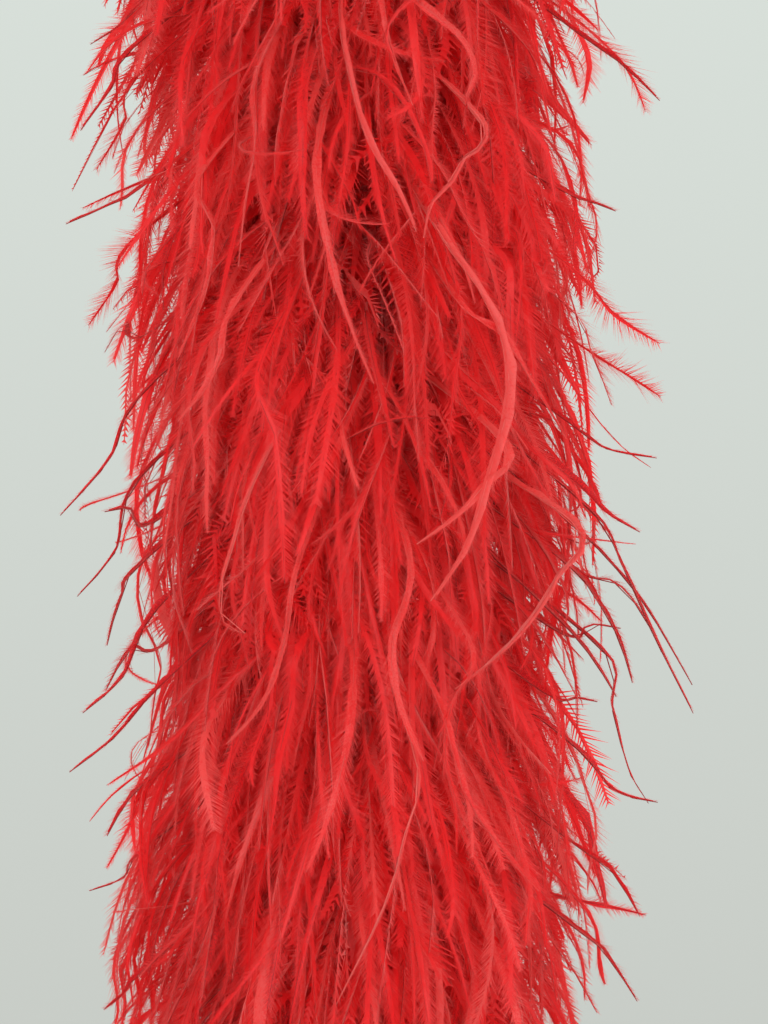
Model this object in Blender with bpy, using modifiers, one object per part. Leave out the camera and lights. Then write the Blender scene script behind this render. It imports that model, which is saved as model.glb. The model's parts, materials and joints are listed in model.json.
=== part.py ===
"""Feather boa, hanging straight down from the cord loop at its top end.

Four strung plume strands are laid up round a core cord and whipped with thread at
both ends. The boa bends anywhere along its length, so it is divided into eight
lengths with a hinge between each two, and the hinges turn about X and Y by turns.
Each length holds its piece of the core cord, of the four strands and of the plumes.

Origin: the inside top of the hanging loop, where the boa bears on a hook. +Z is up.
"""
import math

import bmesh
import bpy
from mathutils import Vector

# ---- Driving dimensions, in metres ------------------------------------------------
LENGTH_BELOW_HOOK = 1.826  # hook to the tips of the lowest plumes
PLUME_RADIUS = 0.088  # reach of the plume tips from the middle of the boa
VALLEY_RADIUS = 0.024  # depth to which the plume mass is open between its ribs
RIBS = 8

LENGTHS = 8  # lengths between the hinges
FIRST_HINGE_Z = -0.265
HINGE_PITCH = 0.205

CORE_RADIUS = 0.0018
STRANDS = 4
STRAND_RADIUS = 0.0018
STRAND_LAY_RADIUS = 0.0048  # strand centreline from the middle of the core
LAY_PITCH = HINGE_PITCH / 1.5  # one full turn of the strands
POINTS_A_TURN = 8

LOOP_CORD_RADIUS = 0.0015
LOOP_RADIUS = 0.0115  # centreline of the round top of the loop
LOOP_LEG_X = 0.0020
WHIP_TOP_Z = -0.045
WHIP_LENGTH = 0.022
WHIP_INNER = 0.0072
WHIP_OUTER = 0.0083
CORD_TOP_Z = -0.0505
LOWER_WHIP_TOP_Z = -1.700
CORD_BOTTOM_Z = LOWER_WHIP_TOP_Z - WHIP_LENGTH + 0.002

BORE_RADIUS = 0.0090  # clear way through the plumes for the strands
CORE_END_GAP = 0.0015  # core cord to hinge axis
STRAND_END_GAP = 0.0045  # strand end to hinge axis
RUFF_END_GAP = 0.0090  # plume mass to hinge axis
RUFF_SLOPE = 1.75  # radius gained for each metre away from the hinge
TWIST_A_STATION = math.radians(7)

HINGE_Z = [FIRST_HINGE_Z - HINGE_PITCH * i for i in range(LENGTHS - 1)]

# ---- Scene ------------------------------------------------------------------------
for old in list(bpy.data.objects):
    bpy.data.objects.remove(old, do_unlink=True)

boa = bpy.data.collections.new("feather_boa")
cutters = bpy.data.collections.new("cutters")
bpy.context.scene.collection.children.link(boa)
bpy.context.scene.collection.children.link(cutters)


def material(name, colour, roughness, sheen=0.0):
    mat = bpy.data.materials.new(name)
    mat.use_nodes = True
    shader = mat.node_tree.nodes["Principled BSDF"]
    shader.inputs["Base Color"].default_value = (*colour, 1.0)
    shader.inputs["Roughness"].default_value = roughness
    shader.inputs["Metallic"].default_value = 0.0
    shader.inputs["Sheen Weight"].default_value = sheen
    mat.diffuse_color = (*colour, 1.0)
    return mat


PLUME = material("dyed_plume_scarlet", (0.62, 0.022, 0.022), 0.75, 0.4)
STRAND = material("strand_string_red", (0.36, 0.014, 0.016), 0.85)
CORE = material("core_cotton_cord_red", (0.42, 0.018, 0.020), 0.9)
LOOP = material("loop_twisted_cord_red", (0.45, 0.018, 0.020), 0.7)
THREAD = material("whipping_thread_red", (0.40, 0.014, 0.018), 0.6)


def length_parent(number):
    """The empty on the hinge that carries this length; the first hangs from the hook."""
    empty = bpy.data.objects.new("hang_point" if number == 1 else f"hinge_{number - 1}", None)
    empty.empty_display_size = 0.02
    boa.objects.link(empty)
    z = 0.0 if number == 1 else HINGE_Z[number - 2]
    above = 0.0 if number <= 2 else HINGE_Z[number - 3]
    if number > 1:
        empty.parent = parents[number - 1]
        empty.location = (0.0, 0.0, z - above)
    return empty


parents = {}
for n in range(1, LENGTHS + 1):
    parents[n] = length_parent(n)
bpy.context.view_layer.update()


def put(obj, number, mat):
    """Link a piece built in world coordinates and hang it on its length's empty."""
    boa.objects.link(obj)
    obj.data.materials.append(mat)
    obj.parent = parents[number]
    obj.matrix_parent_inverse = parents[number].matrix_world.inverted()
    return obj


def tube(name, points, radius, number, mat):
    """A round cord along points, closed at both ends."""
    curve = bpy.data.curves.new(name, "CURVE")
    curve.dimensions = "3D"
    curve.bevel_depth = radius
    curve.bevel_resolution = 2
    curve.use_fill_caps = True
    curve.twist_mode = "MINIMUM"
    spline = curve.splines.new("POLY")
    spline.points.add(len(points) - 1)
    for point, place in zip(spline.points, points):
        point.co = (*place, 1.0)
    return put(bpy.data.objects.new(name, curve), number, mat)


# ---- Hanging loop -----------------------------------------------------------------
def bezier(a, b, c, d, steps):
    """Points after a, up to and with d."""
    out = []
    for i in range(1, steps + 1):
        t = i / steps
        out.append(a * (1 - t) ** 3 + b * 3 * t * (1 - t) ** 2 + c * 3 * t * t * (1 - t) + d * t**3)
    return out


def loop_points():
    """Up one leg out of the whipping, round the top and down the other leg."""
    centre_z = LOOP_CORD_RADIUS - LOOP_RADIUS
    open_angle = math.radians(28)  # how far the round part runs below its middle
    arc = []
    count = 12
    for i in range(count + 1):
        a = -open_angle + (math.pi + 2 * open_angle) * i / count
        arc.append(Vector((LOOP_RADIUS * math.cos(a), 0.0, centre_z + LOOP_RADIUS * math.sin(a))))
    down = Vector((-math.sin(open_angle), 0.0, -math.cos(open_angle)))
    start = arc[0]
    neck = Vector((LOOP_LEG_X, 0.0, WHIP_TOP_Z + 0.001))
    right = bezier(start, start + down * 0.010, neck + Vector((0, 0, 0.012)), neck, 6)
    right.append(Vector((LOOP_LEG_X, 0.0, CORD_TOP_Z + 0.0009)))
    left = [Vector((-p.x, 0.0, p.z)) for p in right]
    return list(reversed(right)) + arc + left


tube("top_loop", loop_points(), LOOP_CORD_RADIUS, 1, LOOP)


# ---- Thread whippings -------------------------------------------------------------
def whipping(name, top_z, number):
    """A sleeve of wound thread, turned from its section."""
    bottom_z = top_z - WHIP_LENGTH
    edge = 0.0004
    section = [
        (WHIP_OUTER - edge, top_z),
        (WHIP_OUTER, top_z - edge),
        (WHIP_OUTER + 0.0003, (top_z + bottom_z) / 2),
        (WHIP_OUTER, bottom_z + edge),
        (WHIP_OUTER - edge, bottom_z),
        (WHIP_INNER, bottom_z),
        (WHIP_INNER, top_z),
    ]
    mesh = bpy.data.meshes.new(name)
    bm = bmesh.new()
    rim = [bm.verts.new((x, 0.0, z)) for x, z in section]
    for a, b in zip(rim, rim[1:] + rim[:1]):
        bm.edges.new((a, b))
    bm.to_mesh(mesh)
    bm.free()
    obj = put(bpy.data.objects.new(name, mesh), number, THREAD)
    turn = obj.modifiers.new("turn", "SCREW")
    turn.axis = "Z"
    turn.angle = 2 * math.pi
    turn.steps = 20
    turn.render_steps = 20
    turn.use_merge_vertices = True
    turn.merge_threshold = 0.00005
    turn.use_smooth_shade = True
    return obj


whipping("top_whipping", WHIP_TOP_Z, 1)
whipping("bottom_whipping", LOWER_WHIP_TOP_Z, LENGTHS)


# ---- Core cord and strands, one piece for each length ------------------------------
def ends(number, gap):
    """Top and bottom of this length's cords, which stop short of the hinges."""
    top = CORD_TOP_Z if number == 1 else HINGE_Z[number - 2] - gap
    bottom = CORD_BOTTOM_Z if number == LENGTHS else HINGE_Z[number - 1] + gap
    return top, bottom


def strand_points(top, bottom, phase):
    turns = (top - bottom) / LAY_PITCH
    count = max(4, round(turns * POINTS_A_TURN))
    out = []
    for i in range(count + 1):
        z = top + (bottom - top) * i / count
        a = phase + 2 * math.pi * z / LAY_PITCH
        out.append((STRAND_LAY_RADIUS * math.cos(a), STRAND_LAY_RADIUS * math.sin(a), z))
    return out


for n in range(1, LENGTHS + 1):
    top, bottom = ends(n, CORE_END_GAP)
    middle = (top + bottom) / 2
    tube(f"core_cord_{n}", [(0, 0, top), (0, 0, middle), (0, 0, bottom)], CORE_RADIUS, n, CORE)
    top, bottom = ends(n, STRAND_END_GAP)
    for s in range(STRANDS):
        tube(
            f"strand_{'abcd'[s]}_{n}",
            strand_points(top, bottom, 2 * math.pi * s / STRANDS),
            STRAND_RADIUS,
            n,
            STRAND,
        )


# ---- Plumes, as one ribbed ruff for each length -------------------------------------
def near_hinge(z, hinge_z):
    """How far the plumes may reach at z so that two lengths clear each other in a bend."""
    return min(PLUME_RADIUS, RUFF_SLOPE * abs(z - hinge_z))


def stations(number):
    """(z, reach) down the ruff."""
    full = PLUME_RADIUS / RUFF_SLOPE
    half = RUFF_END_GAP + (full - RUFF_END_GAP) / 2
    if number == 1:
        upper = [(-0.0580, 0.022), (-0.0740, 0.050), (-0.1080, PLUME_RADIUS)]
    else:
        hinge = HINGE_Z[number - 2]
        upper = [(hinge - d, near_hinge(hinge - d, hinge)) for d in (RUFF_END_GAP, half, full)]
    if number == LENGTHS:
        lower = [
            (CORD_BOTTOM_Z - 0.012, PLUME_RADIUS),
            (-LENGTH_BELOW_HOOK + 0.040, PLUME_RADIUS * 0.86),
            (-LENGTH_BELOW_HOOK, PLUME_RADIUS * 0.42),
        ]
    else:
        hinge = HINGE_Z[number - 1]
        lower = [(hinge + d, near_hinge(hinge + d, hinge)) for d in (full, half, RUFF_END_GAP)]
    a, b = upper[-1][0], lower[0][0]
    between = 2 if number < LENGTHS else 4
    middle = [(a + (b - a) * i / (between + 1), PLUME_RADIUS) for i in range(1, between + 1)]
    return upper + middle + lower


def ruff(number):
    """A ribbed, slowly twisting column drawn down station by station, then bored for the strands."""
    name = f"feather_ruff_{number}"
    levels = stations(number)
    bm = bmesh.new()
    bmesh.ops.create_circle(bm, cap_ends=True, segments=2 * RIBS, radius=1.0)
    bm.faces.ensure_lookup_table()
    face = bm.faces[0]
    ring = sorted(bm.verts, key=lambda v: math.atan2(v.co.y, v.co.x))

    def shape(verts, level, turn):
        z, reach = level
        valley = max(BORE_RADIUS + 0.0025, VALLEY_RADIUS * reach / PLUME_RADIUS)
        for i, v in enumerate(verts):
            r = reach if i % 2 == 0 else min(valley, reach)
            a = turn + math.pi * i / RIBS
            v.co = (r * math.cos(a), r * math.sin(a), z)

    shape(ring, levels[0], 0.0)
    for step, level in enumerate(levels[1:], 1):
        made = bmesh.ops.extrude_face_region(bm, geom=[face])
        fresh = [g for g in made["geom"] if isinstance(g, bmesh.types.BMVert)]
        old = face
        face = next(g for g in made["geom"] if isinstance(g, bmesh.types.BMFace))
        if step > 1 and old.is_valid:
            bm.faces.remove(old)
        at = sorted(
            fresh,
            key=lambda v: (math.atan2(v.co.y, v.co.x) - TWIST_A_STATION * (step - 1) + 1e-4)
            % (2 * math.pi),
        )
        shape(at, level, TWIST_A_STATION * step)
    bmesh.ops.recalc_face_normals(bm, faces=bm.faces[:])
    mesh = bpy.data.meshes.new(name)
    bm.to_mesh(mesh)
    bm.free()
    obj = put(bpy.data.objects.new(name, mesh), number, PLUME)

    z_top = levels[0][0] + 0.010
    z_bottom = levels[-1][0] - 0.010 if number < LENGTHS else CORD_BOTTOM_Z - 0.004
    bpy.ops.mesh.primitive_cylinder_add(
        vertices=12,
        radius=BORE_RADIUS,
        depth=z_top - z_bottom,
        location=(0.0, 0.0, (z_top + z_bottom) / 2),
    )
    drill = bpy.context.active_object
    drill.name = f"bore_{number}"
    for c in list(drill.users_collection):
        c.objects.unlink(drill)
    cutters.objects.link(drill)
    drill.hide_render = True
    drill.display_type = "WIRE"
    cut = obj.modifiers.new("bore", "BOOLEAN")
    cut.operation = "DIFFERENCE"
    cut.solver = "EXACT"
    cut.object = drill
    return obj


for n in range(1, LENGTHS + 1):
    ruff(n)
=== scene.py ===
import json
import math

import bpy
import numpy as np
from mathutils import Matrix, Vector


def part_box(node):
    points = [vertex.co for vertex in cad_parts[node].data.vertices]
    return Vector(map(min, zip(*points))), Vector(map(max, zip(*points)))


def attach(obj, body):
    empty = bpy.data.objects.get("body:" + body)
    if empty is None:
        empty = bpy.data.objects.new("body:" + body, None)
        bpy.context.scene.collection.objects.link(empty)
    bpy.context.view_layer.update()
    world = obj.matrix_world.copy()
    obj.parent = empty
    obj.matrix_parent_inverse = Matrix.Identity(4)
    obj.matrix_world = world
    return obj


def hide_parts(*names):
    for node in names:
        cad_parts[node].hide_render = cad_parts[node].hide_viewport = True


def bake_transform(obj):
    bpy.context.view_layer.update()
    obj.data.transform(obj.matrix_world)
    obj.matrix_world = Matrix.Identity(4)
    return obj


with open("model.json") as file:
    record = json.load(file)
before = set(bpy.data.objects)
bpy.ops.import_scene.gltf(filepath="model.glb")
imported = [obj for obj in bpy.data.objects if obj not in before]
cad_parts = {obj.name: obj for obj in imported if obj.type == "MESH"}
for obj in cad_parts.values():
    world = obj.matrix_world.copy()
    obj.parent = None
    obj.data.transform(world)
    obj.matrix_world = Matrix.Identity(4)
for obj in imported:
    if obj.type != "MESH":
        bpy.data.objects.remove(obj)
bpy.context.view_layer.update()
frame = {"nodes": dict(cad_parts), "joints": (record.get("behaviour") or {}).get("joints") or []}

scene = bpy.context.scene
scene.view_settings.view_transform = "Standard"
TAU = 2 * math.pi

# ---- Facts of the frame, in metres ---------------------------------------------------
HINGES = [j for j in frame["joints"]]
HINGE_Z = [-0.265 - 0.205 * k for k in range(7)]
WHIP_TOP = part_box("top_whipping")[1].z
WHIP_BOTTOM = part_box("top_whipping")[0].z
LOW_WHIP_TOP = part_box("bottom_whipping")[1].z
LOW_WHIP_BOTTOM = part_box("bottom_whipping")[0].z
LAY_RADIUS = 0.0048
STRAND_RADIUS = 0.0018
LAY_PITCH = 0.205 / 1.5
STRANDS = "abcd"

# ---- Camera ---------------------------------------------------------------------------
PX = 0.00032  # metres a pixel at the boa's middle
DISTANCE = 0.62
VIEW_X = 0.0089
VIEW_Z = -0.330
cam_data = bpy.data.cameras.new("camera")
cam_data.sensor_fit = "VERTICAL"
cam_data.sensor_height = 24.0
cam_data.lens = 24.0 * DISTANCE / (1024 * PX)
cam_data.clip_start = 0.01
cam_data.clip_end = 50.0
camera = bpy.data.objects.new("camera", cam_data)
scene.collection.objects.link(camera)
camera.location = (VIEW_X, -DISTANCE, VIEW_Z)
camera.rotation_euler = (math.pi / 2, 0.0, 0.0)
scene.camera = camera


# ---- Materials --------------------------------------------------------------------------
def new_material(name):
    mat = bpy.data.materials.new(name)
    mat.use_nodes = True
    tree = mat.node_tree
    for node in list(tree.nodes):
        tree.nodes.remove(node)
    out = tree.nodes.new("ShaderNodeOutputMaterial")
    return mat, tree, out


def ramp(tree, factor, stops):
    node = tree.nodes.new("ShaderNodeValToRGB")
    node.color_ramp.interpolation = "EASE"
    while len(node.color_ramp.elements) > 1:
        node.color_ramp.elements.remove(node.color_ramp.elements[-1])
    for i, (at, colour) in enumerate(stops):
        e = node.color_ramp.elements[0] if i == 0 else node.color_ramp.elements.new(at)
        e.position = at
        e.color = (*colour, 1.0)
    tree.links.new(factor, node.inputs["Fac"])
    return node.outputs["Color"]


def maths(tree, kind, a, b=None, clamp=False):
    node = tree.nodes.new("ShaderNodeMath")
    node.operation = kind
    node.use_clamp = clamp
    for socket, value in zip(node.inputs, (a, b)):
        if value is None:
            continue
        if isinstance(value, (int, float)):
            socket.default_value = value
        else:
            tree.links.new(value, socket)
    return node.outputs[0]


def mix_colour(tree, factor, a, b):
    node = tree.nodes.new("ShaderNodeMix")
    node.data_type = "RGBA"
    for socket, value in ((node.inputs["Factor"], factor), (node.inputs[6], a), (node.inputs[7], b)):
        if isinstance(value, (int, float)):
            socket.default_value = value
        elif isinstance(value, tuple):
            socket.default_value = (*value, 1.0)
        else:
            tree.links.new(value, socket)
    return node.outputs[2]


def plume_material():
    """Dyed flue: colour by flue, paler at the barbule tips, darker on the stem, thin enough to let light through. The
    palest flues' coral is partly dye and partly painted highlight; the palest stems' coral is painted highlight.
    """
    mat, tree, out = new_material("dyed_ostrich_flue")
    facts = tree.nodes.new("ShaderNodeAttribute")
    facts.attribute_name = "flue"
    parts = tree.nodes.new("ShaderNodeSeparateXYZ")
    tree.links.new(facts.outputs["Vector"], parts.inputs[0])
    tone, along, across = parts.outputs
    stretch = tree.nodes.new("ShaderNodeVectorMath")
    stretch.operation = "MULTIPLY"
    stretch.inputs[1].default_value = (61.0, 9.0, 0.8)
    tree.links.new(facts.outputs["Vector"], stretch.inputs[0])
    noise = tree.nodes.new("ShaderNodeTexNoise")
    noise.inputs["Scale"].default_value = 1.0
    noise.inputs["Detail"].default_value = 3.0
    tree.links.new(stretch.outputs[0], noise.inputs["Vector"])
    streak = maths(tree, "MULTIPLY_ADD", noise.outputs["Fac"], 0.5)
    streak.node.inputs[2].default_value = -0.25
    level = maths(tree, "ADD", tone, streak, clamp=True)
    lines = tree.nodes.new("ShaderNodeVectorMath")
    lines.operation = "MULTIPLY"
    lines.inputs[1].default_value = (47.0, 230.0, 5.0)
    tree.links.new(facts.outputs["Vector"], lines.inputs[0])
    fine = tree.nodes.new("ShaderNodeTexNoise")
    fine.inputs["Scale"].default_value = 1.0
    fine.inputs["Detail"].default_value = 1.0
    tree.links.new(lines.outputs[0], fine.inputs["Vector"])
    grain = maths(tree, "MULTIPLY_ADD", fine.outputs["Fac"], 0.7)
    grain.node.inputs[2].default_value = -0.35
    level = maths(tree, "ADD", level, grain, clamp=True)
    # body colour by tone, which differs at random from flue to flue; its palest, coral end is partly that dye and
    # partly painted highlight
    body = ramp(
        tree,
        level,
        [
            (0.00, (0.66, 0.012, 0.020)),
            (0.05, (0.89, 0.017, 0.023)),
            (0.35, (0.91, 0.024, 0.030)),
            (0.70, (0.92, 0.046, 0.050)),
            (1.00, (0.93, 0.130, 0.122)),
        ],
    )
    edge = ramp(
        tree, maths(tree, "ABSOLUTE", across), [(0.0, (0.0,) * 3), (0.3, (0.0,) * 3), (1.0, (1.0,) * 3)]
    )
    edge_amount = maths(tree, "MULTIPLY", edge, 0.45)
    paler = mix_colour(tree, edge_amount, body, (0.90, 0.15, 0.135))
    is_stem = maths(tree, "GREATER_THAN", across, 1.5)
    # the stem is darker red; from tone 0.85 up its pale coral is painted highlight, the glint of light along the stem
    stem = ramp(
        tree,
        tone,
        [(0.0, (0.46, 0.012, 0.018)), (0.3, (0.66, 0.014, 0.019)), (0.65, (0.72, 0.018, 0.023)), (0.85, (0.93, 0.15, 0.14)), (1.0, (0.95, 0.24, 0.22))],
    )
    colour = mix_colour(tree, is_stem, paler, stem)
    shader = tree.nodes.new("ShaderNodeBsdfPrincipled")
    tree.links.new(colour, shader.inputs["Base Color"])
    shader.inputs["Roughness"].default_value = 0.50
    shader.inputs["Specular IOR Level"].default_value = 0.55
    shader.inputs["Sheen Weight"].default_value = 0.70
    shader.inputs["Sheen Roughness"].default_value = 0.45
    shader.inputs["Sheen Tint"].default_value = (1.0, 0.62, 0.58, 1.0)
    thin = tree.nodes.new("ShaderNodeBsdfTranslucent")
    tree.links.new(colour, thin.inputs["Color"])
    both = tree.nodes.new("ShaderNodeMixShader")
    both.inputs[0].default_value = 0.66
    tree.links.new(shader.outputs[0], both.inputs[1])
    tree.links.new(thin.outputs[0], both.inputs[2])
    tree.links.new(both.outputs[0], out.inputs["Surface"])
    return mat


def cord_material(name, dark, light, scale, roughness):
    """Dyed cotton: fine fibre streaks and slubs over the ply's own colour."""
    mat, tree, out = new_material(name)
    place = tree.nodes.new("ShaderNodeTexCoord")
    noise = tree.nodes.new("ShaderNodeTexNoise")
    noise.inputs["Scale"].default_value = scale
    noise.inputs["Detail"].default_value = 6.0
    noise.inputs["Roughness"].default_value = 0.7
    tree.links.new(place.outputs["Object"], noise.inputs["Vector"])
    colour = ramp(tree, noise.outputs["Fac"], [(0.25, dark), (0.75, light)])
    bump = tree.nodes.new("ShaderNodeBump")
    bump.inputs["Strength"].default_value = 0.35
    bump.inputs["Distance"].default_value = 0.0002
    tree.links.new(noise.outputs["Fac"], bump.inputs["Height"])
    shader = tree.nodes.new("ShaderNodeBsdfPrincipled")
    tree.links.new(colour, shader.inputs["Base Color"])
    tree.links.new(bump.outputs[0], shader.inputs["Normal"])
    shader.inputs["Roughness"].default_value = roughness
    shader.inputs["Sheen Weight"].default_value = 0.3
    tree.links.new(shader.outputs[0], out.inputs["Surface"])
    return mat


PLUME = plume_material()
COTTON = cord_material("dyed_cotton_cord", (0.36, 0.010, 0.014), (0.56, 0.022, 0.026), 2600.0, 0.8)
THREAD = cord_material("dyed_sewing_thread", (0.34, 0.008, 0.012), (0.52, 0.018, 0.024), 3400.0, 0.55)


# ---- Meshes ------------------------------------------------------------------------------
def mesh_object(name, verts, tris, mat, uv=None, facts=None, smooth=True):
    mesh = bpy.data.meshes.new(name)
    mesh.vertices.add(len(verts))
    mesh.vertices.foreach_set("co", np.ascontiguousarray(verts, np.float32).ravel())
    mesh.loops.add(3 * len(tris))
    mesh.loops.foreach_set("vertex_index", np.ascontiguousarray(tris, np.int32).ravel())
    mesh.polygons.add(len(tris))
    mesh.polygons.foreach_set("loop_start", np.arange(0, 3 * len(tris), 3, dtype=np.int32))
    mesh.update(calc_edges=True)
    if uv is not None:
        layer = mesh.uv_layers.new(name="OFBake", do_init=False)
        layer.uv.foreach_set("vector", np.ascontiguousarray(uv, np.float32).ravel())
    if facts is not None:
        attribute = mesh.attributes.new("flue", "FLOAT_VECTOR", "POINT")
        attribute.data.foreach_set("vector", np.ascontiguousarray(facts, np.float32).ravel())
    if smooth:
        mesh.shade_smooth()
    mesh.materials.append(mat)
    obj = bpy.data.objects.new(name, mesh)
    scene.collection.objects.link(obj)
    return obj


# ---- Flues ---------------------------------------------------------------------------------
rng = np.random.default_rng(20)


def field(seed, azimuth, z, waves, height):
    """Smooth noise round and along the boa, about -1 to 1."""
    r = np.random.default_rng(seed)
    total = np.zeros_like(z)
    for _ in range(10):
        turns = r.integers(1, waves + 1)
        rate = r.normal(0.0, 1.0) * TAU / height
        total += np.cos(turns * azimuth + rate * z + r.uniform(0, TAU))
    return total / math.sqrt(10 / 2) / 1.6


ROOT_TOP, ROOT_BOTTOM = WHIP_BOTTOM - 0.003, LOW_WHIP_TOP + 0.004
A_METRE = 6300  # flues for each metre of boa
DOWN_A_METRE = 2500  # short downy flues close to the strands
CLOSE_UP = (HINGE_Z[1] - 0.030, HINGE_Z[0] + 0.175)  # heights shown close up
PATH = 28  # points on a flue's path
FINEST, FINE, COARSE, DOWNY = (320, 30, 16), (200, 18, 9), (56, 9, 5), (24, 5, 3)  # barbules a side, strip rows, stem rings


def flue_set():
    """The long flues of the plumes: where each is rooted and how it hangs."""
    count = int((ROOT_TOP - ROOT_BOTTOM) * A_METRE)
    z = np.concatenate(
        [
            ROOT_TOP + (ROOT_BOTTOM - ROOT_TOP) * (np.arange(count) + rng.uniform(0, 1, count)) / count,
            np.full(380, ROOT_TOP) - rng.uniform(0, 0.008, 380),
            np.full(420, ROOT_BOTTOM) + rng.uniform(0, 0.010, 420),
        ]
    )
    n = len(z)
    azimuth = rng.uniform(0, TAU, n)
    f = {
        "z": z,
        "azimuth": azimuth,
        "strand": rng.integers(0, 4, n),
        "length": rng.normal(0.120, 0.018, n).clip(0.065, 0.16),
        # degrees above the horizon at the root and at the tip
        "start": rng.normal(-34, 19, n) + 13 * field(1, azimuth, z, 5, 0.10),
        "end": rng.normal(-70, 14, n) + 13 * field(2, azimuth, z, 6, 0.08),
        "power": rng.uniform(0.5, 1.0, n),
        "lean": np.radians(rng.normal(0, 13, n) + 20 * field(3, azimuth, z, 6, 0.07)),
        "swerve": np.radians(rng.normal(0, 26, n) + 28 * field(4, azimuth, z, 7, 0.06)),
        "wave": rng.normal(0, 8, n),
        "curl": rng.normal(0, 1, n) * (rng.uniform(0, 1, n) < 0.22),
        "open": np.where(rng.uniform(0, 1, n) < 0.66, rng.beta(4, 2, n), rng.beta(1, 4, n)),
        "fringe": np.exp(rng.normal(0.0, 0.25, n)).clip(0.4, 1.4),
        "roll": rng.normal(0, 0.9, n),
        "twist": rng.normal(0, 1.4, n),
        # tone: dye that differs at random from flue to flue; where it runs high the plume material paints highlight
        "tone": (0.45 + 0.22 * rng.normal(0, 1, n) + 0.17 * field(5, azimuth, z, 5, 0.09)).clip(0, 1),
        "loose": rng.uniform(-0.13, 0.05, n),
        "stray": np.zeros(n),
        "down": np.zeros(n),
    }
    # the topmost flues spring up over the whipping before they fall, the lowest hang straight
    near_top = np.clip((z - (ROOT_TOP - 0.030)) / 0.030, 0, 1)
    f["start"] += near_top * rng.uniform(0, 80, n)
    f["end"] += near_top * rng.uniform(0, 25, n)
    near_low = np.clip(((ROOT_BOTTOM + 0.03) - z) / 0.03, 0, 1)
    f["start"] -= near_low * rng.uniform(0, 60, n)
    # some wander: they stand out, cross their neighbours or curl, and carry fewer barbules
    stray = rng.uniform(0, 1, n) < 0.16
    f["start"] = np.where(stray, f["start"] + rng.normal(10, 18, n), f["start"])
    f["end"] = np.where(stray, f["end"] + rng.normal(22, 22, n), f["end"])
    f["swerve"] = np.where(stray, f["swerve"] * 1.8, f["swerve"])
    f["fringe"] = np.where(stray, f["fringe"] * rng.uniform(0.25, 1.0, n), f["fringe"])
    f["loose"] = np.where(stray, rng.beta(1.0, 2.2, n) * 0.34 - 0.03, f["loose"])
    f["stray"] = stray.astype(float)
    f["start"] = f["start"].clip(-82, 62)
    f["end"] = f["end"].clip(-89, np.where(near_top > 0, -35, 20))
    return f


def down_set():
    """Short fluff that fills the space round the strands."""
    n = int((ROOT_TOP - ROOT_BOTTOM) * DOWN_A_METRE)
    z = ROOT_TOP + (ROOT_BOTTOM - ROOT_TOP) * (np.arange(n) + rng.uniform(0, 1, n)) / n
    more = int((CLOSE_UP[1] - CLOSE_UP[0]) * 0.8 * DOWN_A_METRE)
    z = np.concatenate([z, rng.uniform(*CLOSE_UP, more)])
    n = len(z)
    return {
        "z": z,
        "azimuth": rng.uniform(0, TAU, n),
        "strand": rng.integers(0, 4, n),
        "length": rng.uniform(0.044, 0.096, n),
        "start": rng.uniform(-60, 30, n),
        "end": rng.uniform(-85, -25, n),
        "power": rng.uniform(0.5, 1.0, n),
        "lean": rng.normal(0, 0.4, n),
        "swerve": rng.normal(0, 0.7, n),
        "wave": rng.normal(0, 12, n),
        "curl": np.zeros(n),
        "open": rng.uniform(0.45, 1.0, n),
        "fringe": rng.uniform(0.9, 1.3, n),
        "roll": rng.uniform(-0.8, 0.8, n),
        "twist": rng.normal(0, 1.0, n),
        "tone": rng.normal(0.30, 0.15, n).clip(0, 1),
        "loose": np.full(n, -0.24),
        "stray": np.zeros(n),
        "down": np.ones(n),
    }
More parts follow.
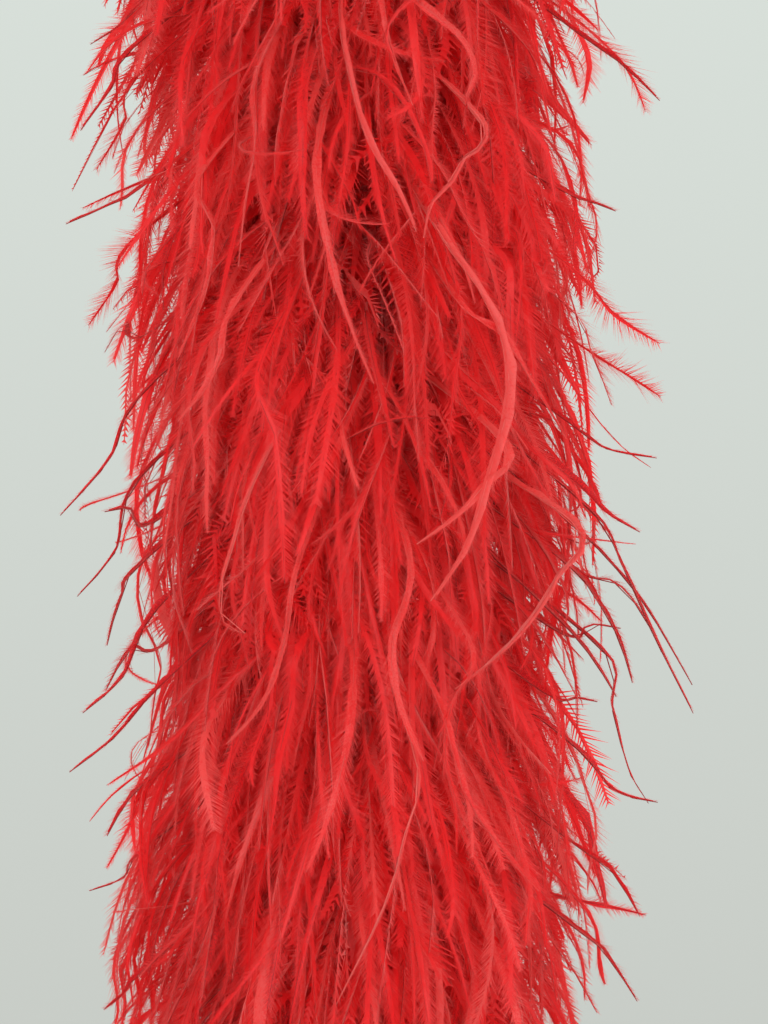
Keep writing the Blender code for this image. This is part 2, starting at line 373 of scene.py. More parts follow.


# Flues that stand out one by one: height of the root, the points passed (x, y, z), all in
# millimetres, then how open the vane is, how long its barbules are and how pale it is; the palest are partly painted
# highlight.
SINGLES = (
    (-128, ((-4, -62, -184), (0, -72, -211), (5, -76, -227), (13, -76, -240), (18, -74, -251)), 0.05, 0.95, 1.00),
    (-169, ((36, -66, -218), (31, -72, -230), (27, -76, -238), (22, -78, -243), (20, -76, -253)), 0.05, 0.75, 1.00),
    (-201, ((25, -72, -252), (36, -76, -268), (43, -78, -285), (43, -79, -302), (38, -79, -320), (32, -78, -339), (22, -76, -355)), 0.10, 1.10, 1.00),
    (-214, ((29, -74, -270), (41, -76, -279), (53, -72, -297), (61, -66, -309)), 0.05, 0.70, 0.80),
    (-272, ((42, -74, -310), (37, -78, -322), (30, -80, -330), (18, -79, -339)), 0.20, 0.90, 1.00),
    (-294, ((62, -60, -332), (58, -66, -348), (50, -72, -360), (41, -74, -370), (29, -73, -380)), 0.10, 0.90, 0.95),
    (-137, ((-26, -66, -201), (-27, -74, -225), (-30, -76, -244), (-32, -75, -261)), 0.30, 0.90, 0.80),
    (-230, ((-26, -70, -287), (-22, -77, -307), (-20, -79, -327), (-19, -77, -350)), 0.85, 1.15, 0.45),
    (-169, ((-10, -68, -227), (-6, -76, -259), (0, -78, -279), (6, -77, -294)), 0.15, 0.90, 0.90),
    (-361, ((18, -74, -400), (15, -77, -419), (9, -78, -440), (-5, -77, -469)), 0.00, 0.35, 1.00),
    (-262, ((-26, -72, -318), (-33, -74, -338), (-37, -75, -352), (-36, -76, -361), (-30, -77, -364)), 0.05, 0.60, 1.00),
    (-339, ((0, -72, -383), (-3, -76, -402), (-8, -78, -419), (-13, -77, -431)), 0.60, 1.00, 0.80),
    (-115, ((12, -66, -175), (21, -74, -188), (31, -76, -197), (35, -76, -207), (32, -74, -213)), 0.15, 1.00, 0.85),
    (-115, ((8, -70, -179), (10, -76, -195), (13, -78, -206), (17, -77, -216)), 0.20, 0.80, 0.90),
    (-112, ((29, -66, -172), (22, -74, -183), (14, -78, -188), (9, -79, -197), (12, -78, -204)), 0.20, 0.90, 0.70),
    (-173, ((-43, -56, -230), (-40, -60, -246), (-42, -62, -266), (-51, -58, -286)), 0.20, 0.90, 0.85),
    (-345, ((24, -72, -383), (31, -76, -408), (42, -74, -425), (53, -68, -438)), 0.25, 0.90, 0.80),
    (-301, ((-15, -74, -344), (-19, -76, -366), (-25, -74, -383), (-36, -68, -396)), 0.10, 0.80, 0.90),
    (-125, ((62, -30, -176), (75, -34, -188), (83, -34, -197), (88, -34, -209)), 0.90, 1.35, 0.25),
    (-125, ((62, -40, -183), (78, -48, -197), (90, -50, -209)), 0.15, 0.95, -0.30),
    (-192, ((61, -30, -231), (71, -34, -236), (79, -34, -239)), 0.20, 0.95, -0.30),
    (-205, ((64, -30, -254), (77, -40, -270), (91, -44, -280)), 0.90, 1.35, 0.25),
    (-230, ((67, -30, -278), (80, -40, -288), (91, -46, -296)), 0.95, 1.35, 0.25),
    (-256, ((64, -30, -302), (75, -40, -311), (90, -44, -314)), 0.10, 0.80, -0.30),
    (-272, ((67, -40, -326), (78, -54, -345), (87, -60, -366), (98, -62, -388)), 0.00, 0.52, -0.30),
    (-294, ((64, -30, -345), (78, -36, -351), (86, -38, -360), (92, -40, -372)), 0.20, 0.80, -0.30),
    (-317, ((72, -36, -369), (76, -46, -386), (81, -48, -406), (87, -48, -416)), 0.00, 0.44, -0.30),
    (-355, ((64, -30, -399), (77, -40, -413), (90, -46, -416)), 0.05, 0.73, -0.30),
    (-384, ((66, -26, -431), (77, -34, -438), (86, -36, -452)), 0.30, 1.09, -0.30),
    (-413, ((68, -26, -458), (76, -34, -464), (85, -38, -477)), 0.20, 0.95, -0.30),
    (-118, ((-62, -30, -173), (-70, -36, -183), (-79, -40, -190)), 0.30, 0.95, -0.30),
    (-131, ((-64, -34, -187), (-72, -42, -203), (-81, -46, -217)), 0.20, 0.95, -0.30),
    (-137, ((-64, -30, -195), (-69, -36, -212), (-78, -36, -227)), 0.85, 1.30, 0.25),
    (-176, ((-62, -30, -229), (-73, -40, -238), (-85, -48, -245)), 0.10, 0.80, -0.30),
    (-192, ((-66, -26, -245), (-72, -34, -261), (-80, -38, -274)), 0.90, 1.35, 0.25),
    (-237, ((-62, -34, -292), (-72, -46, -314), (-86, -52, -331)), 0.00, 0.66, -0.30),
    (-265, ((-63, -30, -317), (-71, -40, -341), (-82, -46, -355)), 0.00, 0.59, -0.30),
    (-307, ((-58, -28, -357), (-69, -38, -379), (-81, -42, -390)), 0.10, 0.95, -0.30),
    (-333, ((-57, -34, -381), (-70, -48, -396), (-83, -54, -406)), 0.00, 0.73, -0.30),
    (-317, ((-56, -26, -369), (-67, -34, -371), (-75, -36, -384)), 0.30, 1.09, -0.30),
    (-390, ((-63, -26, -432), (-69, -36, -440), (-79, -42, -443)), 0.10, 0.80, -0.30),
    (-425, ((-63, -26, -469), (-69, -34, -475), (-75, -40, -479)), 0.30, 0.95, -0.30),
    (-285, ((-59, -30, -332), (-68, -36, -329), (-75, -38, -330)), 0.00, 1.09, -0.30),
    (-278, ((63, -40, -332), (74, -48, -343), (85, -54, -357), (98, -60, -380)), 0.00, 0.52, -0.30),
    (-272, ((62, -34, -317), (75, -42, -330), (85, -44, -336)), 0.10, 0.95, -0.30),
    (-301, ((61, -30, -343), (73, -38, -357), (79, -40, -368), (83, -42, -381)), 0.15, 0.95, -0.30),
    (-307, ((56, -34, -357), (69, -42, -371), (78, -44, -385)), 0.10, 0.80, -0.30),
    (-345, ((56, -30, -384), (66, -36, -386), (73, -38, -387)), 0.10, 1.09, -0.30),
    (-326, ((61, -30, -366), (71, -36, -364), (80, -38, -365)), 0.05, 0.80, -0.30),
    (-221, ((62, -30, -265), (71, -38, -282), (77, -40, -298)), 0.85, 1.30, 0.25),
    (-227, ((-62, -30, -275), (-69, -36, -273), (-75, -38, -282)), 0.50, 1.10, -0.30),
    (-294, ((-62, -30, -343), (-70, -38, -356), (-74, -40, -370)), 0.10, 0.95, -0.30),
    (-371, ((-59, -30, -409), (-68, -38, -417), (-74, -40, -427)), 0.20, 1.09, -0.30),
    (-214, ((-33, -66, -269), (-37, -70, -285), (-42, -70, -295), (-50, -66, -304)), 0.35, 0.90, 0.90),
    (-301, ((16, -76, -343), (11, -78, -366), (13, -78, -383), (20, -76, -400)), 0.30, 0.95, 0.85),
    (-320, ((33, -74, -366), (28, -76, -383), (26, -76, -400), (33, -74, -421)), 0.70, 1.00, 0.75),
)


def single_set():
    """The flues of SINGLES, with their centrelines."""
    n = len(SINGLES)
    points = np.empty((n, PATH, 3))
    for i, (height, passed, *_) in enumerate(SINGLES):
        first = np.array(passed[0], float)
        out = first[:2] / np.linalg.norm(first[:2])
        root = [out[0] * LAY_RADIUS * 1e3, out[1] * LAY_RADIUS * 1e3, height]
        line = np.array([root, *passed], float)[None] / 1e3
        dense = along_path(line, np.linspace(0, 1, 240))[0]
        far = np.concatenate([[0], np.cumsum(np.linalg.norm(np.diff(dense, axis=0), axis=1))])
        for axis in range(3):
            points[i, :, axis] = np.interp(np.linspace(0, far[-1], PATH), far, dense[:, axis])
    way = points[:, PATH // 2]
    f = {
        "z": points[:, 0, 2],
        "azimuth": np.arctan2(way[:, 1], way[:, 0]),
        "strand": np.arange(n) % 4,
        "length": np.linalg.norm(np.diff(points, axis=1), axis=-1).sum(axis=1),
        "open": np.array([row[2] for row in SINGLES]),
        "fringe": np.array([row[3] for row in SINGLES]),
        "tone": np.array([row[4] for row in SINGLES]),
        "roll": rng.normal(0, 0.25, n),
        "twist": rng.normal(0, 0.35, n),
        "down": np.full(n, -1.0),
    }
    return f, points


def flue_paths(f):
    """Centreline points (n, PATH, 3) of every flue."""
    n = len(f["z"])
    t = np.linspace(0, 1, PATH)[None, :]
    mid = (t[:, 1:] + t[:, :-1]) / 2
    rise = np.radians(
        f["start"][:, None]
        + (f["end"] - f["start"])[:, None] * mid ** f["power"][:, None]
        + f["wave"][:, None] * np.sin(TAU * mid * 1.3 + f["azimuth"][:, None] * 7)
        + 75 * np.abs(f["curl"][:, None]) * (mid - 0.5).clip(0) ** 1.6
    )
    sway = 0.34 * np.sin(TAU * mid * 0.9 + f["azimuth"][:, None] * 13) * (f["wave"][:, None] / 11)
    sway = sway + 3.0 * f["curl"][:, None] * (mid - 0.5).clip(0) ** 1.6
    heading = f["azimuth"][:, None] + f["lean"][:, None] + f["swerve"][:, None] * mid**1.5 + sway
    step = f["length"][:, None] / (PATH - 1)
    d = np.stack([np.cos(rise) * np.cos(heading), np.cos(rise) * np.sin(heading), np.sin(rise)], -1)
    lay = TAU * f["z"] / LAY_PITCH + f["strand"] * TAU / 4
    root = np.stack(
        [
            LAY_RADIUS * np.cos(lay) + STRAND_RADIUS * np.cos(f["azimuth"]),
            LAY_RADIUS * np.sin(lay) + STRAND_RADIUS * np.sin(f["azimuth"]),
            f["z"],
        ],
        -1,
    )
    points = np.concatenate([np.zeros((n, 1, 3)), np.cumsum(d * step[..., None], axis=1)], axis=1)
    return points + root[:, None, :]


def cling(f, points, a_lock, strength):
    """Draws neighbouring flues together into locks, more and more towards their tips."""
    r = np.random.default_rng(91)
    n = len(f["z"])
    centre = r.choice(n, n // a_lock, replace=False)
    lock = np.empty(n, int)
    for i in range(0, n, 2000):
        j = slice(i, i + 2000)
        turn = np.abs((f["azimuth"][j, None] - f["azimuth"][None, centre] + math.pi) % TAU - math.pi)
        lock[j] = np.argmin((turn * 0.050) ** 2 + (f["z"][j, None] - f["z"][None, centre]) ** 2, axis=1)
    total = np.zeros((len(centre),) + points.shape[1:])
    np.add.at(total, lock, points)
    mean = total / np.bincount(lock, minlength=len(centre)).clip(1)[:, None, None]
    t = np.linspace(0, 1, points.shape[1])
    ease = np.clip((t - 0.15) / 0.85, 0, 1) ** 1.2
    pull = strength * r.uniform(0, 1, n)[:, None] * ease[None, :]
    return points + (mean[lock] - points) * pull[..., None]


def drape(f, points):
    """Keeps the flues within the plumes' outer surface: some hang down over one another, some end there aslant."""
    x, y, z = points[..., 0], points[..., 1], points[..., 2]
    reach = np.hypot(x, y)
    azimuth = np.arctan2(y, x)
    outside = 0.0763 + 0.0030 * field(6, azimuth, z, 3, 0.13) + 0.0030 * field(7, azimuth, z, 7, 0.05) - 0.016 * np.exp(-(((z + 0.386) / 0.026) ** 2))
    limit = np.minimum(outside * (1 + f["loose"][:, None]), 0.0940)
    knee = 0.80 * limit
    held = np.where(reach > knee, knee + (limit - knee) * np.tanh((reach - knee) / (limit - knee)), reach)
    whole = np.minimum((limit / np.maximum(reach, 1e-9)).min(axis=1, keepdims=True), 1.0)
    aslant = (f["stray"] > 0) | ((f["down"] < 1) & (np.random.default_rng(17).uniform(0, 1, len(f["z"])) < 0.55))
    held = np.where(aslant[:, None], reach * (1 + (whole - 1) * np.linspace(0, 1, reach.shape[1])), held)
    points[..., :2] *= (held / np.maximum(reach, 1e-9))[..., None]
    return points


def along_path(points, t):
    """Points at parameters t (m,) on each path, by Catmull-Rom."""
    n, k, _ = points.shape
    at = np.clip(t * (k - 1), 0, k - 1 - 1e-6)
    i = at.astype(int)
    u = (at - i)[None, :, None]
    p0 = points[:, np.maximum(i - 1, 0)]
    p1 = points[:, i]
    p2 = points[:, i + 1]
    p3 = points[:, np.minimum(i + 2, k - 1)]
    return 0.5 * (
        2 * p1 + (p2 - p0) * u + (2 * p0 - 5 * p1 + 4 * p2 - p3) * u**2 + (3 * p1 - p0 - 3 * p2 + p3) * u**3
    )


def unit(v):
    return v / np.maximum(np.linalg.norm(v, axis=-1, keepdims=True), 1e-12)


def frames(points, azimuth, roll):
    """Tangent, width and face directions along each path."""
    tangent = unit(np.gradient(points, axis=1))
    side = np.stack([-np.sin(azimuth), np.cos(azimuth), np.zeros_like(azimuth)], -1)[:, None, :]
    width = unit(side - (side * tangent).sum(-1, keepdims=True) * tangent)
    face = np.cross(tangent, width)
    c, s = np.cos(roll)[..., None], np.sin(roll)[..., None]
    width, face = width * c + face * s, face * c - width * s
    return tangent, width, face


def barbule_length(t, opened):
    """Length of the barbules at t; a closed flue tapers to its tip, an open one ends blunt."""
    taper = (0.30 - 0.21 * opened)[:, None]
    grown = 0.45 + 0.55 * np.clip(t / 0.12, 0, 1) ** 0.7
    return 0.0065 * grown[None, :] * (0.22 + 0.78 * np.clip((1 - t[None, :]) / taper, 0, 1) ** 0.75)


def flue_arrays(f, points, pick, detail, first_cell, cells, seed):
    """Vertices, facts, map places and triangles of the picked flues: stem, velvet beside it, barbules."""
    teeth, rows, rings = detail
    n = len(pick)
    points = points[pick]
    g = {k: v[pick] for k, v in f.items()}
    r = np.random.default_rng(seed)

    def turned(t):
        return g["roll"][:, None] + g["twist"][:, None] * t[None, :]

    def spread(t):
        """Angle of the barbules off the stem, and how far the two vanes fold together."""
        angle = np.radians(24 + 19 * g["open"])[:, None] * (1 + 0.12 * np.sin(9 * t[None, :] + g["roll"][:, None] * 5))
        fold = np.radians(52 * (1 - g["open"]) ** 1.5)[:, None] + 0.25 * np.sin(7 * t[None, :] + g["twist"][:, None] * 9)
        return angle, fold

    verts, facts, us, vs = [], [], [], []

    def add(v, tone, along, across, u, at):
        m = v.shape[1]
        verts.append(v)
        facts.append(
            np.stack([np.broadcast_to(tone, (n, m)), np.broadcast_to(along, (n, m)), np.full((n, m), float(across))], -1)
        )
        us.append(np.full(m, u))
        vs.append(np.broadcast_to(at, (m,)))

    tone = g["tone"][:, None]
    # barbules: each a fine tapering blade from the stem
    even = (np.arange(teeth) + 0.5) / teeth
    t = np.interp(even, [0, 0.18, 1], [0.02, 0.34, 0.99])
    gap = np.gradient(t)
    line = along_path(points, t)
    tangent, width, face = frames(line, g["azimuth"], turned(t))
    angle, fold = spread(t)
    add(line, tone, t, 0, 0.60, t)
    fine = teeth > 100
    # their roots are fine on closed flues and broad on open ones
    there = along_path(points, np.minimum(t + 0.9 * gap, 1))
    add(line + (there - line) * ((0.75 if fine else 0.55) + 0.20 * g["open"])[:, None, None], tone, t, 0, 0.60, t + 0.9 * gap)
    bunch = np.arange(teeth) // 3 if fine else np.arange(teeth)
    for way in (1, -1):
        # barbules cling to their neighbours in threes, so tips gather and gaps open between
        jitter = r.normal(0, 0.6, (n, teeth, 3)) + r.normal(0, 0.7, (n, teeth, 3))[:, bunch]
        gather = (0.32 * (bunch * 3 + 1 - np.arange(teeth)) * gap if fine else 0 * gap)[None, :, None]
        a = angle * (1 + 0.13 * jitter[..., 0])
        b = fold + 0.20 * jitter[..., 1]
        size = barbule_length(t, g["open"]) * g["fringe"][:, None] * (1 + 0.17 * jitter[..., 2])
        out = way * width * np.cos(b)[..., None] + face * np.sin(b)[..., None]
        tip = line + size[..., None] * (tangent * np.cos(a)[..., None] + out * np.sin(a)[..., None])
        tip = tip + tangent * gather * (g["length"] * g["open"])[:, None, None]
        add(tip, tone + 0.06 * jitter[..., 2], t, way, 0.61 + 0.37 * way, (t + 1.2 * gap).clip(0, 1))
    # velvet: the barbules' crowded roots beside the stem
    ts = np.linspace(0.02, 0.985, rows)
    centre = along_path(points, ts)
    tangent, width, face = frames(centre, g["azimuth"], turned(ts))
    angle, fold = spread(ts)
    wide = barbule_length(ts, g["open"]) * g["fringe"][:, None] * np.sin(angle) * (0.46 - 0.34 * g["open"])[:, None]
    wide = wide * (1 + 0.16 * r.normal(0, 1, (n, rows))) * np.where(g["down"] < 0, 1.45 - 0.6 * g["open"], 1 + 0.7 * g["down"])[:, None]
    add(centre, tone, ts, 0.0, 0.08, ts)
    for way in (1, -1):
        out = way * width * np.cos(fold)[..., None] + face * np.sin(fold)[..., None]
        add(centre + out * wide[..., None], tone, ts, 0.4 * way, 0.08 + 0.06 * way, ts)
    # stem
    tr = np.linspace(0, 1, rings)
    centre = along_path(points, tr)
    _, width, face = frames(centre, g["azimuth"], turned(tr))
    thick = (0.00020 - 0.00013 * tr)[None, :, None] * np.where(g["down"] < 0, 2.1 - 0.8 * g["open"], 1.0)[:, None, None]
    for k in range(3):
        a = TAU * k / 3
        add(centre + thick * (width * math.cos(a) + face * math.sin(a)), tone, tr, 2.0, 0.17 + 0.025 * k, tr)

    starts = np.concatenate([[0], np.cumsum([v.shape[1] for v in verts])])
    i = np.arange(teeth)
    tris = [np.stack([i, teeth + i, starts[2] + i], -1), np.stack([teeth + i, i, starts[3] + i], -1)]
    j = np.arange(rows - 1)
    for side, flip in ((starts[5], False), (starts[6], True)):
        a, b = starts[4] + j, side + j
        first, second = np.stack([a, a + 1, b], -1), np.stack([a + 1, b + 1, b], -1)
        tris += [first[:, ::-1], second[:, ::-1]] if flip else [first, second]
    j = np.arange(rings - 1)
    for k in range(3):
        a, b = starts[7 + k] + j, starts[7 + (k + 1) % 3] + j
        tris += [np.stack([a, b, b + 1], -1), np.stack([a, b + 1, a + 1], -1)]
    one = np.concatenate(tris)
    each = starts[-1]
    # each flue has a cell of its own on the map
    columns, lines = cells
    cell = first_cell + np.arange(n)
    u = (cell[:, None] % columns + 0.03 + 0.94 * np.concatenate(us)[None, :]) / columns
    v = (cell[:, None] // columns + 0.01 + 0.98 * np.concatenate(vs)[None, :]) / lines
    return (
        np.concatenate(verts, axis=1).reshape(-1, 3).astype(np.float32),
        np.concatenate(facts, axis=1).reshape(-1, 3).astype(np.float32),
        np.stack([u.ravel(), v.ravel()], -1).astype(np.float32),
        (one[None, :, :] + (np.arange(n) * each)[:, None, None]).reshape(-1, 3),
    )


def flue_mesh(name, f, points, pick, seed):
    """One object of the picked flues, those shown close up in the finest detail."""
    near = (f["z"] > CLOSE_UP[0]) & (f["z"] < CLOSE_UP[1]) & (np.sin(f["azimuth"]) < 0.15) & (f["down"] < 1)
    single = f["down"] < 0
    finest = pick[single[pick]]
    fine = pick[near[pick] & ~single[pick]]
    down = pick[f["down"][pick] > 0]
    coarse = pick[~near[pick] & (f["down"][pick] == 0)]
    lines = 4
    cells = (math.ceil(len(pick) / lines), lines)
    parts, offset, cell = [], 0, 0
    for k, (some, detail) in enumerate(((finest, FINEST), (fine, FINE), (coarse, COARSE), (down, DOWNY))):
        if len(some):
            v, a, m, t = flue_arrays(f, points, some, detail, cell, cells, seed * 10 + k)
            parts.append((v, a, m, t + offset))
            offset += len(v)
            cell += len(some)
    v, a, m, t = (np.concatenate(p) for p in zip(*parts))
    return mesh_object(name, v, t, PLUME, m[t.ravel()], a)


f = flue_set()
paths = drape(f, cling(f, flue_paths(f), 6, 0.4))
under = down_set()
single, single_paths = single_set()
paths = np.concatenate([paths, drape(under, flue_paths(under)), single_paths])
f = {k: np.concatenate([f[k], under[k], single[k]]) for k in single}

region = np.zeros(len(f["z"]), int)
for hinge in HINGE_Z:
    region += f["z"] < hinge - 0.0625
for k in range(8):
    for s in range(4):
        pick = np.flatnonzero((region == k) & (f["strand"] == s))
        piece = flue_mesh(f"plume_strand_{STRANDS[s]}_{k + 1}", f, paths, pick, 4 * k + s)
        if k < 7:
            z = HINGE_Z[k]
            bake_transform(piece)
            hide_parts(f"feather_ruff_{k + 1}", f"feather_ruff_{k + 2}")
        else:
            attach(piece, "length_8")
            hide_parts("feather_ruff_8")

# ---- Cords, strings and thread ---------------------------------------------------------------
def strand_frames(path):
    """Two directions across a path that turn as little as possible along it."""
    tangent = unit(np.gradient(path, axis=0))
    across = np.empty_like(path)
    first = np.cross(tangent[0], (0.0, 1.0, 0.0))
    if np.linalg.norm(first) < 0.1:
        first = np.cross(tangent[0], (1.0, 0.0, 0.0))
    across[0] = unit(first)
    for i in range(1, len(path)):
        a = across[i - 1] - tangent[i] * (across[i - 1] @ tangent[i])
        across[i] = a / np.linalg.norm(a)
    return across, np.cross(tangent, across)


def laid(path, plies, ply_radius, lay_radius, pitch, sides=7, phase=0.0, uneven=0.06, seed=0):
    """Verts, tris and map places of plies twisted together along a path."""
    r = np.random.default_rng(seed)
    far = np.concatenate([[0], np.cumsum(np.linalg.norm(np.diff(path, axis=0), axis=1))])
    a, b = strand_frames(path)
    verts, tris, uvs = [], [], []
    n = len(path)
    for k in range(plies):
        turn = TAU * (far / pitch + k / plies) + phase
        middle = path + lay_radius * (a * np.cos(turn)[:, None] + b * np.sin(turn)[:, None])
        pa, pb = strand_frames(middle)
        slub = 1 + uneven * np.interp(far, np.linspace(0, far[-1], max(4, int(far[-1] / 0.004))), r.normal(0, 1, max(4, int(far[-1] / 0.004))))
        ring = TAU * np.arange(sides) / sides
        tube = middle[:, None] + (ply_radius * slub)[:, None, None] * (
            pa[:, None] * np.cos(ring)[None, :, None] + pb[:, None] * np.sin(ring)[None, :, None]
        )
        base = sum(len(v) for v in verts)
        i, j = np.meshgrid(np.arange(n - 1), np.arange(sides), indexing="ij")
        p, q = base + i * sides + j, base + i * sides + (j + 1) % sides
        t = np.concatenate([np.stack([p, q, q + sides], -1), np.stack([p, q + sides, p + sides], -1)]).reshape(-1, 3)
        u = (k + 0.04 + 0.92 * np.stack([j, j + 1, j + 1], -1) / sides) / plies
        u2 = (k + 0.04 + 0.92 * np.stack([j, j + 1, j], -1) / sides) / plies
        v = np.stack([i, i, i + 1], -1) / (n - 1)
        v2 = np.stack([i, i + 1, i + 1], -1) / (n - 1)
        uv = np.concatenate([np.stack([u, v], -1), np.stack([u2, v2], -1)]).reshape(-1, 2)
        ends = []
        for at, flip in ((0, True), (n - 1, False)):
            fan = [[base + at * sides, base + at * sides + m, base + at * sides + m + 1] for m in range(1, sides - 1)]
            ends += [f[::-1] if flip else f for f in fan]
        t = np.concatenate([t, np.array(ends)])
        flat = np.tile([[(k + 0.5) / plies, 0.0], [(k + 0.52) / plies, 0.0], [(k + 0.51) / plies, 0.01]], (len(ends), 1))
        verts.append(tube.reshape(-1, 3))
        tris.append(t)
        uvs.append(np.concatenate([uv, flat]))
    return np.concatenate(verts), np.concatenate(tris), np.concatenate(uvs)


def join(parts):
    """Several laid cords on one map, side by side."""
    verts, tris, uvs, offset = [], [], [], 0
    for k, (v, t, m) in enumerate(parts):
        verts.append(v)
        tris.append(t + offset)
        uvs.append(np.stack([(k + m[:, 0]) / len(parts), m[:, 1]], -1))
        offset += len(v)
    return np.concatenate(verts), np.concatenate(tris), np.concatenate(uvs)


# the strings of the plumes and the core cord, in pieces that meet half way between the bends
string_top, string_bottom = WHIP_TOP - 0.0056, LOW_WHIP_BOTTOM + 0.0021  # where the core ends
cuts = [string_top] + [z - 0.1025 for z in HINGE_Z[:-1]] + [HINGE_Z[-1] - 0.1025, string_bottom]
for k in range(8):
    top, bottom = cuts[k], cuts[k + 1]
    z = np.linspace(top, bottom, int((top - bottom) / 0.0011))
    strings = []
    for s in range(4):
        # the strings run on through the whippings and are cut off flush
        high = top if k else WHIP_TOP + 0.0004 - 0.0005 * s
        low = bottom if k < 7 else LOW_WHIP_BOTTOM - 0.0003 + 0.0004 * s
        sz = np.linspace(high, low, int((high - low) / 0.0011))
        turn = TAU * sz / LAY_PITCH + s * TAU / 4
        line = np.stack([LAY_RADIUS * np.cos(turn), LAY_RADIUS * np.sin(turn), sz], -1)
        strings.append(laid(line, 2, 0.00088, 0.00088, 0.0085, 6, phase=TAU * top / 0.0085, seed=50 + 4 * k + s))
    core = np.stack([0 * z, 0 * z, z], -1)
    pieces = (
        (f"strand_strings_{k + 1}", join(strings), "strand_string", [f"strand_{s}" for s in STRANDS]),
        (f"core_cord_plies_{k + 1}", laid(core, 3, 0.00083, 0.00096, 0.0105, 7, phase=TAU * top / 0.0105, seed=90 + k), "core_cord", ["core_cord"]),
    )
    for name, (v, t, m), place, stems in pieces:
        piece = mesh_object(name, v, t, COTTON, m)
        if k < 7:
            hinge = HINGE_Z[k]
            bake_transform(piece)
            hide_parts(*[f"{stem}_{i}" for stem in stems for i in (k + 1, k + 2)])
        else:
            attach(piece, "length_8")
            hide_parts(*[f"{stem}_8" for stem in stems])


def bezier(a, b, c, d, n):
    t = np.linspace(0, 1, n)[:, None]
    return a * (1 - t) ** 3 + 3 * b * t * (1 - t) ** 2 + 3 * c * t**2 * (1 - t) + d * t**3


# hanging loop: three plies, from inside the whipping up round the top and back
opening = math.radians(28)
a = np.linspace(-opening, math.pi + opening, 90)
arc = np.stack([0.0115 * np.cos(a), 0 * a, 0.0015 - 0.0115 + 0.0115 * np.sin(a)], -1)
start = arc[0]
neck = np.array([0.0020, 0.0, WHIP_TOP + 0.001])
down = np.array([-math.sin(opening), 0.0, -math.cos(opening)])
leg = bezier(start, start + down * 0.010, neck + (0, 0, 0.012), neck, 60)
tail = np.linspace(neck, (0.0020, 0.0, WHIP_TOP - 0.0046), 12)
leg = np.concatenate([leg, tail[1:]])
line = np.concatenate([leg[::-1], arc[1:], (leg * (-1, 1, 1))[1:]])
v, t, m = laid(line, 3, 0.00070, 0.00080, 0.0078, 9, uneven=0.05, seed=7)
loop = mesh_object("hanging_loop_plies", v, t, COTTON, m)
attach(loop, "length_1")
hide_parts("top_loop")

# whippings: two layers of thread wound close, the outer one swelling a little in the middle
for name, node, body, top, bottom in (
    ("top_whipping_thread", "top_whipping", "length_1", WHIP_TOP, WHIP_BOTTOM),
    ("bottom_whipping_thread", "bottom_whipping", "length_8", LOW_WHIP_TOP, LOW_WHIP_BOTTOM),
):
    parts = []
    for layer, (radius, thread, hand) in enumerate(((0.00755, 0.00026, -1), (0.00808, 0.00027, 1))):
        rows = (top - bottom - 2 * thread) / (2.02 * thread)
        turn = np.linspace(0, TAU * rows, int(rows * 26))
        z = top - thread - (top - bottom - 2 * thread) * turn / turn[-1]
        swell = 0.00026 * np.sin(np.pi * (top - z) / (top - bottom)) + 0.00004 * np.sin(turn * 0.37) * np.cos(turn * 0.11)
        r_here = radius + (swell if layer else 0.6 * swell)
        wound = np.stack([r_here * np.cos(hand * turn), r_here * np.sin(hand * turn), z], -1)
        parts.append(laid(wound, 1, thread, 0.0, 1.0, 6, uneven=0.03, seed=20 + layer))
    # the thread's end, tucked under its own last turns
    s = np.linspace(0, 1, 40)
    lift = 0.00095 * np.sin(np.pi * np.clip(s * 1.1, 0, 1))
    radius = 0.00838 + 0.00026 + lift * 0.5
    angle = -1.9 + 0.55 * s
    tuck = np.stack([radius * np.cos(angle), radius * np.sin(angle), top - 0.0015 - 0.0165 * s], -1)
    parts.append(laid(tuck, 1, 0.00027, 0.0, 1.0, 6, uneven=0.03, seed=31))
    v, t, m = join(parts)
    piece = mesh_object(name, v, t, THREAD, m)
    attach(piece, body)
    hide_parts(node)

# any CAD node still showing takes the cord's finish
for name, node in frame["nodes"].items():
    if "feather" not in name:
        node.data.materials.clear()
        node.data.materials.append(THREAD if "whipping" in name else COTTON)

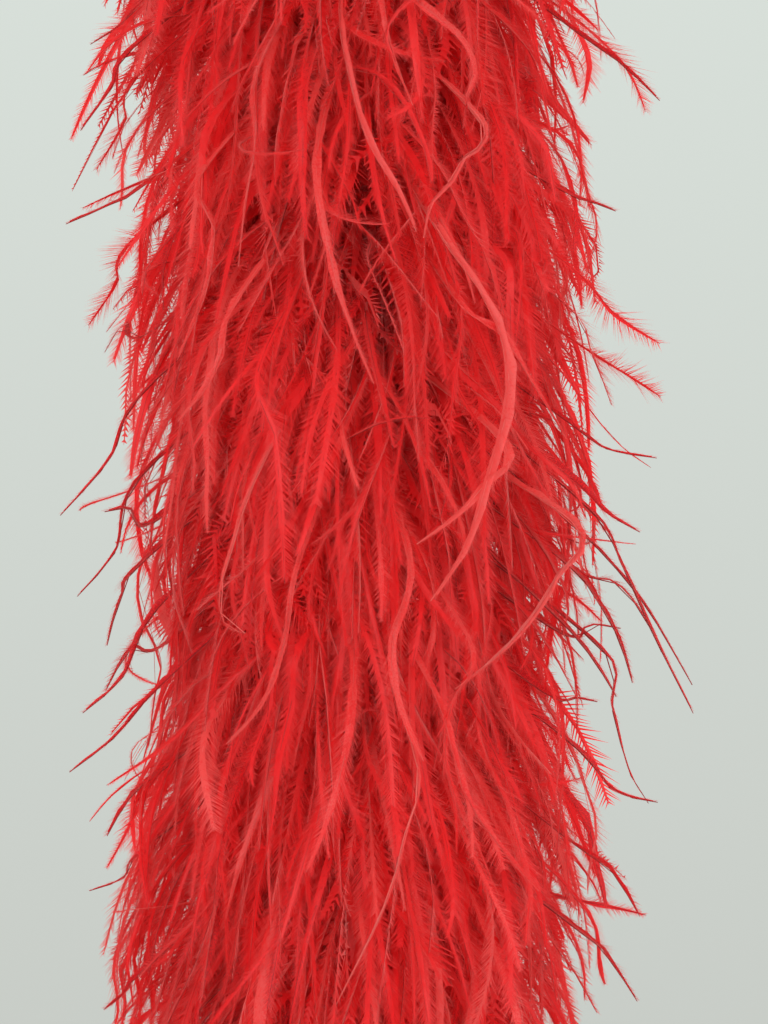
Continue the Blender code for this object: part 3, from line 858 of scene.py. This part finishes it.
# ---- Stage: floor, light, world --------------------------------------------------------------
floor_mesh = bpy.data.meshes.new("floor")
rim = [(3.4 * math.cos(TAU * i / 96), 3.4 * math.sin(TAU * i / 96), 0) for i in range(96)]
floor_mesh.from_pydata(rim, [], [tuple(range(96))])
floor = bpy.data.objects.new("floor", floor_mesh)
floor.location = (0, 0, -2.05)
scene.collection.objects.link(floor)
floor_mat = bpy.data.materials.new("pale_floor")
floor_mat.use_nodes = True
floor_mat.node_tree.nodes["Principled BSDF"].inputs["Base Color"].default_value = (0.62, 0.64, 0.62, 1)
floor_mat.node_tree.nodes["Principled BSDF"].inputs["Roughness"].default_value = 0.9
floor_mesh.materials.append(floor_mat)

world = bpy.data.worlds.new("studio")
scene.world = world
world.use_nodes = True
wt = world.node_tree
back = wt.nodes["Background"]
where = wt.nodes.new("ShaderNodeTexCoord")
split = wt.nodes.new("ShaderNodeSeparateXYZ")
wt.links.new(where.outputs["Generated"], split.inputs[0])
up = wt.nodes.new("ShaderNodeMapRange")
up.inputs["From Min"].default_value = -0.28
up.inputs["From Max"].default_value = 0.28
wt.links.new(split.outputs["Z"], up.inputs["Value"])
tint = wt.nodes.new("ShaderNodeMix")
tint.data_type = "RGBA"
tint.inputs[6].default_value = (0.575, 0.602, 0.565, 1)
tint.inputs[7].default_value = (0.690, 0.745, 0.700, 1)
wt.links.new(up.outputs[0], tint.inputs["Factor"])
wt.links.new(tint.outputs[2], back.inputs["Color"])
back.inputs["Strength"].default_value = 1.0


def area(name, place, target, size, power, colour=(1, 1, 1)):
    data = bpy.data.lights.new(name, "AREA")
    data.shape = "DISK"
    data.size = size
    data.energy = power
    data.color = colour
    lamp = bpy.data.objects.new(name, data)
    lamp.location = place
    lamp.rotation_euler = (Vector(target) - Vector(place)).to_track_quat("-Z", "Y").to_euler()
    scene.collection.objects.link(lamp)
    return lamp


area("key", (-0.15, -2.6, 0.20), (0, 0, -0.5), 2.6, 71.0, (1.0, 0.985, 0.965))
area("fill", (2.2, -1.4, 0.2), (0, 0, -0.8), 1.8, 14.0, (0.97, 0.985, 1.0))
area("rim", (-0.1, 2.4, 0.9), (0, 0, -0.8), 1.6, 28.0)
